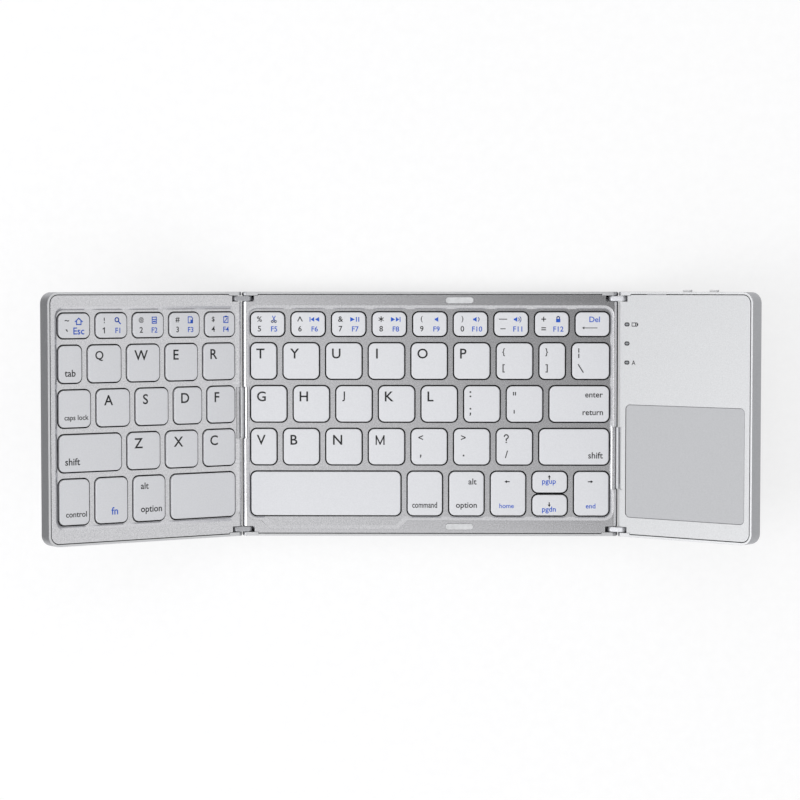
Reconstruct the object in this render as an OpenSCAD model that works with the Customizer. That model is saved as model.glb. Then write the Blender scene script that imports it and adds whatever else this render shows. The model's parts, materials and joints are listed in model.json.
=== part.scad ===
// Tri-fold keyboard: a left wing and a centre panel with keys, and a right wing with a touchpad.
// Each wing is carried by two double-pivot links, so that it can fold flat onto the centre panel.
// The origin is the middle of the centre panel on the plane of its feet; +X right, +Y back, +Z up.

/* [Panels] */
// Depth of the three panels, front to back
panel_depth = 98; // [96:0.5:110]
// Width of the centre panel
centre_width = 150.8; // [150.2:0.2:165]
// Width of the left wing
left_width = 86.8; // [84:0.2:87]
// Width of the right wing
right_width = 63; // [60:0.5:63]
// Thickness of each panel without its feet
panel_thickness = 7.2; // [7:0.1:9]
// Radius of the outer corners seen from above
corner_radius = 4.4; // [3:0.2:7]
// Radius of the corners beside a joint
joint_corner_radius = 0.8; // [0.4:0.1:1.2]
// Bevel along the lower outer edges
lower_bevel = 0.8; // [0.3:0.1:1.2]

/* [Shells] */
// Thickness of the floor of each bottom case
floor_thickness = 1.4; // [1:0.1:1.6]
// Width of the bright rim that the bottom case shows from above
rim_width = 0.9; // [0.7:0.1:1.2]
// Seam between that rim and the top frame
seam_width = 0.3; // [0.15:0.05:0.5]
// Thickness of the top frame's skin
skin_thickness = 0.8; // [0.6:0.1:1]
// Depth of the key field below the rim
recess_depth = 1.2; // [0.8:0.1:1.3]
// Width of the slope round the key field
recess_slope = 1.4; // [0.8:0.1:1.5]
// Clearance between pieces that sit in one another
seat_clearance = 0.1; // [0.05:0.01:0.2]

/* [Keys] */
// Width of a letter key
letter_width = 14.35; // [13.8:0.05:14.4]
// Depth of a letter key
letter_depth = 14.4; // [13:0.1:14.6]
// Depth of the keys in the number row
number_depth = 9.6; // [9:0.1:11]
// Depth of the keys in the bottom row
bottom_depth = 17.7; // [16:0.1:18]
// Gap between two keys side by side
key_gap = 2.75; // [2.4:0.05:3]
// Gap between two rows of keys
row_gap = 2.8; // [2.4:0.05:3]
// Width of the cut-down letter keys at the ends of the upper and lower rows
cut_key_width = 10.3; // [9.5:0.1:11]
// Width of the two letter keys next to the joint in the left wing's middle row
short_letter_width = 12.5; // [12:0.1:14]
// Width of the small keys in the centre panel's bottom row
small_key_width = 13.95; // [13:0.05:14.5]
// Width of the space bar on the left wing
left_space_width = 29.3; // [26:0.1:31]
// Radius of the corners of a key
key_radius = 2.2; // [1.2:0.1:2.6]
// Gap round a key in the frame
key_clearance = 0.45; // [0.3:0.05:0.6]
// Gap between the up and the down arrow key
arrow_gap = 0.8; // [0.5:0.1:0.8]
// Height of a keycap
cap_height = 2.2; // [1.8:0.1:2.2]
// Wall and roof of a keycap
cap_wall = 0.9; // [0.7:0.1:1.1]
// How far the keys' tops lie below the rim
cap_drop = 0.4; // [0.3:0.1:0.6]
// Small step round the top of a keycap
cap_edge = 0.2; // [0.1:0.05:0.3]
// Space between the key field and the side edges of its panel at a joint
joint_margin = 3.6; // [3.5:0.1:5]
// Space between the key field and the outer edge of the left wing
outer_margin = 4.8; // [4.2:0.1:6]
// Reach of the recess beyond the keys at the sides
side_reach = 1.85; // [1.85:0.05:2.1]
// Reach of the recess beyond the keys at the back
back_reach = 2.6; // [2:0.1:3]
// Reach of the recess beyond the keys at the front
front_reach = 1.9; // [1.85:0.05:2.2]
// Length of the thumb notch in front of the right space bar, at its front end
notch_length = 51.8; // [40:0.2:54]
// Reach of the thumb notch in front of the recess
notch_reach = 3.4; // [2:0.1:3.5]
// Distance of the thumb notch's middle from the space bar's, to the right
notch_shift = 3.5; // [0:0.1:4]

/* [Key mechanism] */
// Thickness of the metal plate below the keys
backplate_thickness = 0.8; // [0.5:0.1:0.8]
// Thickness of the switch membrane
membrane_thickness = 0.3; // [0.2:0.05:0.4]
// Length of a scissor lever
lever_length = 9.2; // [8:0.1:10]
// Width of a pair of scissor levers
lever_width = 7.2; // [6.4:0.1:7.4]
// Width and thickness of a lever's bars
lever_bar = 0.6; // [0.5:0.05:0.7]
// Wall of a rubber dome
dome_wall = 0.4; // [0.3:0.05:0.5]

/* [Joints] */
// Fold of the left wing at rest, in degrees
left_fold = 35; // [10:1:80]
// Fold of the right wing at rest, in degrees
right_fold = 38; // [10:1:80]
// Distance of a pivot from the top and from the joint edge of its panel
pivot_inset = 2; // [1.8:0.1:2.2]
// Gap between two panels at a joint
joint_gap = 0.4; // [0.35:0.05:0.6]
// Radius of a hinge link's round ends
link_radius = 1.9; // [1.3:0.05:1.9]
// Thickness of a hinge link
link_thickness = 2; // [1.6:0.1:2.2]
// Width of the pocket that a link lies in
pocket_width = 2.4; // [2.3:0.05:2.8]
// Length of that pocket from the joint edge
pocket_length = 5; // [4.6:0.1:6]
// Thickness of the ear outside a link
ear_thickness = 1.5; // [1.4:0.1:2]
// Radius of a hinge pin
pin_radius = 0.6; // [0.5:0.05:0.7]
// Length of the pin inside the frame
pin_hold = 1.8; // [1.2:0.1:2.4]
// Wall left outside the end of a hinge pin
pin_cover = 0.5; // [0.3:0.1:0.8]
// Radial clearance of the link on its pin
pin_clearance = 0.05; // [0.03:0.01:0.08]
// Radius of the slim cable guard between two panels
guard_radius = 0.8; // [0.7:0.05:0.9]
// Clearance round the cable guard
guard_clearance = 0.12; // [0.1:0.01:0.2]
// Length of the left cable guard
left_guard_length = 20.3; // [14:0.1:24]
// Middle of the left cable guard, front to back
left_guard_y = 0.5; // [-10:0.5:10]
// Length of the right cable guard
right_guard_length = 24.7; // [14:0.1:28]
// Middle of the right cable guard, front to back
right_guard_y = -17.6; // [-20:0.2:10]
// Thickness of the ribbon cable
ribbon_thickness = 0.2; // [0.15:0.05:0.3]

/* [Rim bumpers and feet] */
// Length of a soft bumper on the rim
bumper_length = 11; // [8:0.5:14]
// Width of a soft bumper
bumper_width = 2.4; // [1.6:0.1:2.4]
// How far a bumper stands above the rim
bumper_height = 0.25; // [0.1:0.05:0.3]
// Depth that a bumper is let into the frame
bumper_depth = 0.5; // [0.3:0.1:0.6]
// How far a foot stands below the case
foot_height = 0.4; // [0.3:0.05:0.8]
// Depth that a foot is let into the case
foot_depth = 0.5; // [0.3:0.1:0.6]
// Length of a foot
foot_length = 14; // [10:0.5:20]
// Width of a foot
foot_width = 5; // [3:0.5:6]
// Distance of the feet from the edges
foot_margin = 9; // [7:0.5:14]

/* [Right wing] */
// Width of the touchpad
pad_width = 54.9; // [48:0.1:55]
// Depth of the touchpad
pad_depth = 44.9; // [38:0.1:46]
// Distance of the touchpad from the joint edge
pad_margin = 4.5; // [4:0.1:6]
// Distance of the touchpad from the front edge
pad_front = 8; // [7:0.1:9]
// Radius of the touchpad's corners
pad_radius = 1.8; // [1:0.1:3]
// Thickness of the touchpad's plate in its window
pad_thickness = 1; // [0.8:0.1:1]
// How far the touchpad lies below the top
pad_drop = 0.15; // [0.05:0.05:0.2]
// Gap round the touchpad
pad_gap = 0.15; // [0.1:0.05:0.2]
// Width of the flange that holds the touchpad from below
pad_flange = 1.2; // [0.8:0.1:1.4]
// Thickness of the sensor board under the touchpad
sensor_thickness = 0.6; // [0.5:0.1:0.8]
// Thickness of the battery
battery_thickness = 2.8; // [2:0.1:3]
// Width of the battery
battery_width = 48; // [36:1:50]
// Depth of the battery
battery_depth = 38; // [30:1:40]
// Thickness of the main board
board_thickness = 0.8; // [0.6:0.1:1]
// Height of the board above the floor
board_lift = 0.5; // [0.4:0.1:0.8]
// Length of a status light window, side to side
light_length = 1.6; // [1.2:0.1:2.4]
// Depth of a status light window
light_depth = 0.8; // [0.6:0.1:1.2]
// Distance of the lights from the joint edge
light_margin = 4.9; // [4.5:0.1:8]
// Distance of the rearmost light from the back edge
light_back = 13; // [10:0.5:16]
// Pitch of the status lights
light_pitch = 7.6; // [5:0.1:8]
// Width of a switch knob
knob_width = 3.5; // [3:0.1:5]
// Height of a switch knob
knob_height = 1.6; // [1.2:0.1:2]
// How far a knob stands out of the back edge
knob_reach = 0.8; // [0.5:0.1:1.2]
// Travel of a switch knob
knob_travel = 1.6; // [1:0.1:2]
// Middle of the power switch from the joint edge
power_switch_u = 31.1; // [28:0.1:36]
// Middle of the connection switch from the joint edge
mode_switch_u = 43.4; // [42:0.1:50]
// Middle of the charging port from the joint edge
port_u = 18; // [14:0.5:22]
// Width of the charging port
port_width = 8.9; // [7:0.1:9]
// Height of the charging port
port_height = 3.2; // [2.6:0.1:3.2]
// Length of the charging port
port_length = 6.5; // [5:0.1:8]
// Wall of the charging port's shell
port_wall = 0.35; // [0.3:0.05:0.5]

/* [Hidden] */

// Overshoot of a cut past the face that it opens
cut = 1;
// Facets of a full circle in the flat outlines
arc_facets = 48;
edge_y = panel_depth / 2;
top_z = panel_thickness;

// Heights in a panel, from its underside
plate_z = floor_thickness;
membrane_z = plate_z + backplate_thickness;
dome_z = membrane_z + membrane_thickness;
recess_z = top_z - recess_depth;
skin_z = recess_z - skin_thickness;
cap_top_z = top_z - cap_drop;
cap_z = cap_top_z - cap_height;
roof_z = cap_top_z - cap_wall;
dome_height = roof_z - dome_z - seat_clearance / 2;

// Hinge
pivot_z = top_z - pivot_inset;
pivot_pitch = 2 * pivot_inset + joint_gap;
pocket_outer_y = edge_y - ear_thickness;
pocket_inner_y = pocket_outer_y - pocket_width;
pocket_z = pivot_z - link_radius - 2 * seat_clearance;
link_y = pocket_inner_y + (pocket_width - link_thickness) / 2;
guard_core = pivot_pitch / 2 - guard_radius - guard_clearance;
guard_cut = guard_radius + guard_clearance;

// Outline of the top frame inside the case's rim
frame_inset = rim_width + seam_width;

// Key field
centre_field = centre_width - 2 * joint_margin;
left_field = left_width - joint_margin - outer_margin;
row_depths = [number_depth, letter_depth, letter_depth, letter_depth, bottom_depth];
function sum_to(list, n) = n <= 0 ? 0 : list[n - 1] + sum_to(list, n - 1);
field_depth = sum_to(row_depths, 5) + 4 * row_gap;
field_back = field_depth / 2;
function rest_of(list, field) = field - sum_to(list, len(list)) - len(list) * key_gap;
function ends_with_rest(list, field) = concat(list, [rest_of(list, field)]);
function starts_with_rest(list, field) = concat([rest_of(list, field)], list);
function equal_keys(count, field) = [for (i = [1:count]) (field - (count - 1) * key_gap) / count];
function letters(count) = [for (i = [1:count]) letter_width];

// Widths of the keys of each row: the centre panel's from left to right
centre_rows = [
    equal_keys(9, centre_field),
    ends_with_rest(concat([cut_key_width], letters(6), [cut_key_width]), centre_field),
    ends_with_rest(letters(7), centre_field),
    ends_with_rest(concat([cut_key_width], letters(6)), centre_field),
    starts_with_rest([for (i = [1:5]) small_key_width], centre_field)
];
// and the left wing's from the joint outwards
left_rows = [
    equal_keys(5, left_field),
    ends_with_rest(letters(4), left_field),
    ends_with_rest([short_letter_width, short_letter_width, letter_width, letter_width], left_field),
    ends_with_rest(letters(3), left_field),
    ends_with_rest([left_space_width, small_key_width, small_key_width], left_field)
];

// One key as [low x, high x, front y, back y]
function row_back(r) = field_back - sum_to(row_depths, r) - r * row_gap;
function key_low(rows, start, r, i) = start + sum_to(rows[r], i) + i * key_gap;
function key_box(rows, start, r, i) = [
    key_low(rows, start, r, i), key_low(rows, start, r, i) + rows[r][i],
    row_back(r) - row_depths[r], row_back(r)
];
function centre_key(r, i) = key_box(centre_rows, -centre_field / 2, r, i);
function left_key(r, i) = key_box(left_rows, joint_margin, r, i);
function back_half(b) = [b[0], b[1], (b[2] + b[3] + arrow_gap) / 2, b[3]];
function front_half(b) = [b[0], b[1], b[2], (b[2] + b[3] - arrow_gap) / 2];
arrow_box = centre_key(4, 4);
centre_boxes = [for (r = [0:4]) for (i = [0:len(centre_rows[r]) - 1]) centre_key(r, i)];
centre_keys = concat(
    [for (b = centre_boxes) if (b != arrow_box) b],
    [back_half(arrow_box), front_half(arrow_box)]
);
left_keys = [for (r = [0:4]) for (i = [0:len(left_rows[r]) - 1]) left_key(r, i)];
space_box = centre_key(4, 0);
function middle_x(b) = (b[0] + b[1]) / 2;
function middle_y(b) = (b[2] + b[3]) / 2;
function grown(b, d) = [b[0] - d, b[1] + d, b[2] - d, b[3] + d];

// Recess round the keys, as a box at the rim and as a box at its floor
centre_recess = [-centre_field / 2 - side_reach, centre_field / 2 + side_reach,
                 -field_back - front_reach, field_back + back_reach];
left_recess = [joint_margin - side_reach, joint_margin + left_field + side_reach,
               -field_back - front_reach, field_back + back_reach];
// Inner side of the walls round the key mechanism
centre_cavity = grown([-centre_field / 2, centre_field / 2, -field_back, field_back], key_clearance);
left_cavity = grown([joint_margin, joint_margin + left_field, -field_back, field_back], key_clearance);

// Levers and dome that fit inside a keycap
function lever_width_of(b) = min(lever_width, b[3] - b[2] - 2 * cap_wall - 6 * seat_clearance);
function dome_radius_of(b) = lever_width_of(b) / 2 - 2 * lever_bar - 3.5 * seat_clearance;

// Right wing
pad_box = [pad_margin, pad_margin + pad_width, -edge_y + pad_front, -edge_y + pad_front + pad_depth];
cover_z = top_z - pad_drop - pad_thickness;
sensor_z = cover_z - sensor_thickness;
board_z = floor_thickness + board_lift;
board_y = pad_box[3] + 2;
battery_x = (right_width - battery_width) / 2;
battery_y = (pad_box[2] + pad_box[3] - battery_depth) / 2;
switch_z = board_z + board_thickness + knob_height / 2 + 3 * seat_clearance;
port_z = board_z + board_thickness;

// ---------------------------------------------------------------- outlines

// Outline with one corner radius on the low-x side and another on the high-x side
module outline(b, low_r, high_r) {
    translate([b[0] + low_r, b[2]]) square([b[1] - b[0] - low_r - high_r, b[3] - b[2]]);
    translate([b[0], b[2] + low_r]) square([b[1] - b[0] - high_r, b[3] - b[2] - 2 * low_r]);
    translate([b[1] - high_r - 0.01, b[2] + high_r]) square([high_r + 0.01, b[3] - b[2] - 2 * high_r]);
    for (y = [b[2] + low_r, b[3] - low_r]) translate([b[0] + low_r, y]) circle(low_r, $fn = arc_facets);
    for (y = [b[2] + high_r, b[3] - high_r]) translate([b[1] - high_r, y]) circle(high_r, $fn = arc_facets);
}

module block(b, r, z0, z1) {
    translate([0, 0, z0]) linear_extrude(z1 - z0) outline(b, r, r);
}

// Straight bar with round ends along X
module pill(length, width, height) {
    linear_extrude(height) {
        square([length - width, width], center = true);
        for (x = [-1, 1]) translate([x * (length - width) / 2, 0]) circle(width / 2, $fn = arc_facets);
    }
}

// Round bar along Y between two depths
module y_bar(r, y0, y1) {
    translate([0, y0, 0]) rotate([-90, 0, 0]) cylinder(h = y1 - y0, r = r, $fn = arc_facets);
}

// ---------------------------------------------------------------- places

module centre_place() {
    translate([0, 0, foot_height]) children();
}

// Turns a wing that is drawn flat, outwards from its joint edge, up by its fold
module wing_place(fold) {
    translate([centre_width / 2 - pivot_inset, 0, foot_height + pivot_z])
        rotate([0, -fold / 2, 0]) translate([pivot_pitch, 0, 0]) rotate([0, -fold / 2, 0])
            translate([-pivot_inset, 0, -pivot_z]) children();
}

module link_place(fold) {
    translate([centre_width / 2 - pivot_inset, 0, foot_height + pivot_z])
        rotate([0, -fold / 2, 0]) children();
}

module left_place() {
    mirror([1, 0, 0]) wing_place(left_fold) children();
}

module right_place() {
    wing_place(right_fold) children();
}

// Both ends of a panel's joint edge, with the panel lying on the negative side of X
module at_front_and_back() {
    children();
    mirror([0, 1, 0]) children();
}

// ---------------------------------------------------------------- joint edges
// Each is drawn for an edge at x = 0 with the panel on its positive side.

// What is cut away to round the upper joint edge about the pivot
module edge_rounding() {
    translate([-cut, -edge_y - cut, pivot_z]) difference() {
        cube([pivot_inset + cut, panel_depth + 2 * cut, pivot_inset + cut]);
        translate([pivot_inset + cut, 0, 0]) y_bar(pivot_inset, -cut, panel_depth + 3 * cut);
    }
}

// What is cut away to let the cable guard swing round the pivot
module guard_relief(length, y) {
    reach = length / 2 + 2 * seat_clearance;
    translate([pivot_inset, y, pivot_z]) difference() {
        union() {
            translate([-pivot_inset - cut, -reach, -guard_cut])
                cube([pivot_inset + cut, 2 * reach, guard_cut + pivot_inset + cut]);
            translate([-cut / 2, -reach, 0]) cube([guard_cut + cut / 2, 2 * reach, pivot_inset + cut]);
        }
        y_bar(guard_core, -reach - cut, reach + cut);
    }
}

// Pocket for one link, open to the joint and to the top; it takes the frame away out to the ear
module link_pocket() {
    translate([-cut, pocket_inner_y, pocket_z]) cube([pocket_length + cut, edge_y, top_z]);
}

module pin_bore() {
    translate([pivot_inset, 0, pivot_z])
        y_bar(pin_radius + seat_clearance / 5, pocket_inner_y - pin_hold - seat_clearance,
              edge_y - pin_cover + seat_clearance);
}

module hinge_pin() {
    translate([pivot_inset, 0, pivot_z]) y_bar(pin_radius, pocket_inner_y - pin_hold, edge_y - pin_cover);
}

// Ear of the bottom case outside a link
module ear() {
    translate([0, pocket_outer_y, floor_thickness / 2])
        cube([pocket_length + ear_thickness, ear_thickness - rim_width / 2, top_z - floor_thickness / 2]);
}

// Room for the ear in the top frame
module ear_room() {
    translate([-cut, pocket_outer_y - seat_clearance, 0])
        cube([pocket_length + ear_thickness + seat_clearance + cut, edge_y, top_z + cut]);
}

// ---------------------------------------------------------------- shells

// Bottom case between two x: a floor, a rim on the sides without a joint, and ears at the joints
module bottom_case(b, low_joint, high_joint) {
    low_r = low_joint ? joint_corner_radius : corner_radius;
    high_r = high_joint ? joint_corner_radius : corner_radius;
    inner = [b[0] + (low_joint ? -cut : rim_width), b[1] - (high_joint ? -cut : rim_width),
             b[2] + rim_width, b[3] - rim_width];
    difference() {
        union() {
            difference() {
                union() {
                    translate([0, 0, lower_bevel]) linear_extrude(top_z - lower_bevel)
                        outline(b, low_r, high_r);
                    hull() {
                        linear_extrude(0.01) outline(grown(b, -lower_bevel), low_r, high_r, $fn = 32);
                        translate([0, 0, lower_bevel]) linear_extrude(0.01) outline(b, low_r, high_r);
                    }
                }
                translate([0, 0, floor_thickness]) linear_extrude(top_z)
                    outline(inner, low_joint ? 0.1 : corner_radius - rim_width,
                            high_joint ? 0.1 : corner_radius - rim_width);
            }
            if (low_joint) translate([b[0], 0, 0]) at_front_and_back() ear();
            if (high_joint) translate([b[1], 0, 0]) mirror([1, 0, 0]) at_front_and_back() ear();
        }
        if (low_joint) translate([b[0], 0, 0]) joint_edge_cuts();
        if (high_joint) translate([b[1], 0, 0]) mirror([1, 0, 0]) joint_edge_cuts();
    }
}

module joint_edge_cuts() {
    edge_rounding();
    at_front_and_back() pin_bore();
}

// Block of the top frame inside the rim, before the recess is cut
module frame_block(b, low_joint, high_joint) {
    inner = [b[0] + (low_joint ? 0 : frame_inset), b[1] - (high_joint ? 0 : frame_inset),
             b[2] + frame_inset, b[3] - frame_inset];
    translate([0, 0, floor_thickness]) linear_extrude(top_z - floor_thickness)
        outline(inner, low_joint ? 0.1 : corner_radius - frame_inset,
                high_joint ? 0.1 : corner_radius - frame_inset);
}

// Cuts of the top frame at one joint
module frame_joint_cuts(guard_length, guard_y) {
    joint_edge_cuts();
    guard_relief(guard_length, guard_y);
    at_front_and_back() {
        link_pocket();
        ear_room();
    }
}

// Sloped recess from the rim down to the level between the keys
module recess(b) {
    r = key_radius + key_clearance;
    hull() {
        block(grown(b, -recess_slope), r, recess_z, recess_z + 0.01);
        block(b, r + recess_slope, top_z, top_z + 0.01);
    }
}

// Thumb notch in front of the space bar, with ends that slant outwards towards the recess
module thumb_notch() {
    x = middle_x(space_box) + notch_shift;
    y = centre_recess[2];
    half = notch_length / 2;
    foot = half - recess_slope;
    hull() {
        translate([x - foot, y - notch_reach + recess_slope, recess_z]) cube([2 * foot, 0.01, 0.01]);
        translate([x - foot - notch_reach, y + recess_slope, recess_z])
            cube([2 * (foot + notch_reach), cut, 0.01]);
        translate([x - half, y - notch_reach, top_z]) cube([notch_length, 0.01, 0.01]);
        translate([x - half - notch_reach, y, top_z]) cube([notch_length + 2 * notch_reach, 2 * cut, 0.01]);
    }
}

// Hollow of a frame under its skin, and the lighter hollows under its back and front rims
module frame_hollows(b, cavity) {
    block(cavity, 1, 0, skin_z);
    x0 = max(b[0] + pocket_length + 4, cavity[0]);
    x1 = min(b[1] - pocket_length - 4, cavity[1]);
    wall = skin_thickness;
    y0 = cavity[3] + wall;
    y1 = edge_y - frame_inset - wall;
    translate([x0, y0, 0]) cube([x1 - x0, y1 - y0, top_z - recess_depth - skin_thickness]);
    translate([x0, -y1, 0]) cube([x1 - x0, y1 - y0, top_z - recess_depth - skin_thickness]);
}

module key_opening(b) {
    block(grown(b, key_clearance), key_radius + key_clearance, skin_z - cut, recess_z + cut);
}

// ---------------------------------------------------------------- keys and their mechanism

module keycap(b) {
    difference() {
        union() {
            block(b, key_radius, cap_z, cap_top_z - cap_edge);
            block(grown(b, -cap_edge), key_radius - cap_edge, cap_z, cap_top_z);
        }
        block(grown(b, -cap_wall), key_radius - cap_wall, cap_z - cut, roof_z);
    }
}

// Rubber dome: a hollow cone under the middle of a key
module dome(b) {
    r = dome_radius_of(b);
    translate([middle_x(b), middle_y(b), dome_z]) difference() {
        cylinder(h = dome_height, r1 = r, r2 = r * 0.6, $fn = 24);
        translate([0, 0, -0.01]) cylinder(h = dome_height - dome_wall, r1 = r - dome_wall,
                                          r2 = r * 0.6 - dome_wall, $fn = 24);
    }
}

// One lever: a rectangular ring that is tilted about its middle
module lever(length, width, tilt) {
    rotate([0, tilt, 0]) difference() {
        cube([length, width, lever_bar], center = true);
        cube([length - 2 * lever_bar, width - 2 * lever_bar, 2 * lever_bar], center = true);
    }
}

// Crossed pair of levers round the dome
module scissor(b) {
    width = lever_width_of(b);
    length = min(lever_length, b[1] - b[0] - 2 * cap_wall - 0.6);
    height = dome_height - seat_clearance;
    tilt = asin((height - lever_bar) / length);
    translate([middle_x(b), middle_y(b), dome_z + seat_clearance / 2 + height / 2]) {
        lever(length, width, tilt);
        lever(length, width - 2 * lever_bar - 3 * seat_clearance, -tilt);
    }
}

module mechanism_plate(cavity, z, thickness, inset) {
    block(grown(cavity, -inset), 1, z, z + thickness);
}

// ---------------------------------------------------------------- centre panel

centre_panel = [-centre_width / 2, centre_width / 2, -edge_y, edge_y];

module foot_recesses(places) {
    for (p = places) translate([p[0], p[1], -cut])
        pill(foot_length + 2 * seat_clearance, foot_width + 2 * seat_clearance, foot_depth + cut);
}

module feet(places) {
    for (p = places) translate([p[0], p[1], -foot_height])
        pill(foot_length, foot_width, foot_height + foot_depth);
}

centre_foot_places = concat([[0, 0]],
    [for (x = [-1, 1]) for (y = [-1, 1])
        [x * (centre_width / 2 - foot_margin - foot_length / 2), y * (edge_y - foot_margin)]]);

module centre_bottom_case() {
    color("silver") centre_place() difference() {
        bottom_case(centre_panel, true, true);
        foot_recesses(centre_foot_places);
    }
}

module bumper_place(y_side) {
    // over the line where the two folded wings meet
    x = (left_width - right_width) / 2;
    y = y_side > 0 ? (centre_recess[3] + edge_y - frame_inset) / 2
                   : (centre_recess[2] - edge_y + frame_inset) / 2;
    translate([x, y, top_z - bumper_depth]) children();
}

module centre_key_frame() {
    color("gainsboro") centre_place() difference() {
        frame_block(centre_panel, true, true);
        frame_hollows(centre_panel, centre_cavity);
        recess(centre_recess);
        thumb_notch();
        for (b = centre_keys) key_opening(b);
        translate([centre_panel[1], 0, 0]) mirror([1, 0, 0])
            frame_joint_cuts(right_guard_length, right_guard_y);
        translate([centre_panel[0], 0, 0]) frame_joint_cuts(left_guard_length, left_guard_y);
        for (side = [-1, 1]) bumper_place(side)
            pill(bumper_length + seat_clearance, bumper_width + seat_clearance, bumper_depth + cut);
    }
}

module rim_bumpers() {
    color("white") centre_place() for (side = [-1, 1])
        bumper_place(side) pill(bumper_length, bumper_width, bumper_depth + bumper_height);
}

module centre_backplate() {
    color("slategray") centre_place()
        mechanism_plate(centre_cavity, plate_z, backplate_thickness, seat_clearance);
}

module centre_membrane() {
    color("honeydew") centre_place()
        mechanism_plate(centre_cavity, membrane_z, membrane_thickness, 4 * seat_clearance);
}

module centre_domes() {
    color("whitesmoke") centre_place() for (b = centre_keys) dome(b);
}

module centre_scissors() {
    color("lightgray") centre_place() for (b = centre_keys) scissor(b);
}

module centre_feet() {
    color("dimgray") centre_place() feet(centre_foot_places);
}

module centre_hinge_pins() {
    color("darkgray") centre_place() for (side = [0, 1])
        mirror([side, 0, 0]) translate([-centre_width / 2, 0, 0]) at_front_and_back() hinge_pin();
}

module centre_caps(r, first, last) {
    color("whitesmoke") centre_place() for (i = [first:last]) keycap(centre_key(r, i));
}

module centre_number_keys() { centre_caps(0, 0, 7); }
module backspace_key() { centre_caps(0, 8, 8); }
module centre_upper_letter_keys() { centre_caps(1, 0, 8); }
module centre_middle_letter_keys() { centre_caps(2, 0, 6); }
module enter_key() { centre_caps(2, 7, 7); }
module centre_lower_letter_keys() { centre_caps(3, 0, 6); }
module right_shift_key() { centre_caps(3, 7, 7); }
module right_space_key() { centre_caps(4, 0, 0); }
module command_key() { centre_caps(4, 1, 1); }
module right_alt_key() { centre_caps(4, 2, 2); }
module left_arrow_key() { centre_caps(4, 3, 3); }
module right_arrow_key() { centre_caps(4, 5, 5); }
module up_arrow_key() { color("whitesmoke") centre_place() keycap(back_half(arrow_box)); }
module down_arrow_key() { color("whitesmoke") centre_place() keycap(front_half(arrow_box)); }

// ---------------------------------------------------------------- left wing

left_panel = [0, left_width, -edge_y, edge_y];
left_foot_places = [for (y = [-1, 1])
    [left_width - foot_margin - foot_length / 2, y * (edge_y - foot_margin)]];

module left_bottom_case() {
    color("silver") left_place() difference() {
        bottom_case(left_panel, true, false);
        foot_recesses(left_foot_places);
    }
}

module left_key_frame() {
    color("gainsboro") left_place() difference() {
        frame_block(left_panel, true, false);
        frame_hollows(left_panel, left_cavity);
        recess(left_recess);
        for (b = left_keys) key_opening(b);
        frame_joint_cuts(left_guard_length, left_guard_y);
    }
}

module left_backplate() {
    color("slategray") left_place()
        mechanism_plate(left_cavity, plate_z, backplate_thickness, seat_clearance);
}

module left_membrane() {
    color("honeydew") left_place()
        mechanism_plate(left_cavity, membrane_z, membrane_thickness, 4 * seat_clearance);
}

module left_domes() {
    color("whitesmoke") left_place() for (b = left_keys) dome(b);
}

module left_scissors() {
    color("lightgray") left_place() for (b = left_keys) scissor(b);
}

module left_feet() {
    color("dimgray") left_place() feet(left_foot_places);
}

module left_hinge_pins() {
    color("darkgray") left_place() at_front_and_back() hinge_pin();
}

module left_caps(r, first, last) {
    color("whitesmoke") left_place() for (i = [first:last]) keycap(left_key(r, i));
}

module left_number_keys() { left_caps(0, 0, 3); }
module escape_key() { left_caps(0, 4, 4); }
module left_upper_letter_keys() { left_caps(1, 0, 3); }
module tab_key() { left_caps(1, 4, 4); }
module left_middle_letter_keys() { left_caps(2, 0, 3); }
module caps_lock_key() { left_caps(2, 4, 4); }
module left_lower_letter_keys() { left_caps(3, 0, 2); }
module left_shift_key() { left_caps(3, 3, 3); }
module left_space_key() { left_caps(4, 0, 0); }
module left_alt_key() { left_caps(4, 1, 1); }
module function_key() { left_caps(4, 2, 2); }
module control_key() { left_caps(4, 3, 3); }

// ---------------------------------------------------------------- right wing

right_panel = [0, right_width, -edge_y, edge_y];
right_foot_places = [for (y = [-1, 1])
    [right_width - foot_margin - foot_length / 2, y * (edge_y - foot_margin)]];

module knob_slot(u) {
    translate([u - knob_width / 2 - seat_clearance, edge_y - frame_inset - 2 * cut,
               switch_z - knob_height / 2 - seat_clearance])
        cube([knob_width + knob_travel + 2 * seat_clearance, 4 * cut, knob_height + 2 * seat_clearance]);
}

module port_hole() {
    translate([port_u - port_width / 2 - seat_clearance, edge_y - port_length - cut, port_z])
        cube([port_width + 2 * seat_clearance, port_length + 2 * cut, port_height + seat_clearance]);
}

module board_posts() {
    for (u = [pad_box[0] + 3, pad_box[1] - 3]) for (y = [board_y + 3, edge_y - frame_inset - 5])
        translate([u, y, floor_thickness - 0.2]) cylinder(h = board_lift + 0.2, r = 1.5, $fn = 24);
}

module right_bottom_case() {
    color("silver") right_place() difference() {
        union() {
            bottom_case(right_panel, true, false);
            board_posts();
        }
        foot_recesses(right_foot_places);
        knob_slot(power_switch_u);
        knob_slot(mode_switch_u);
        port_hole();
    }
}

function light_place(i) = [light_margin, edge_y - light_back - i * light_pitch];

module light_window(i, grow, z0, z1) {
    p = light_place(i);
    translate([p[0], p[1], z0]) pill(light_length + 2 * grow, light_depth + 2 * grow, z1 - z0);
}

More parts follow.
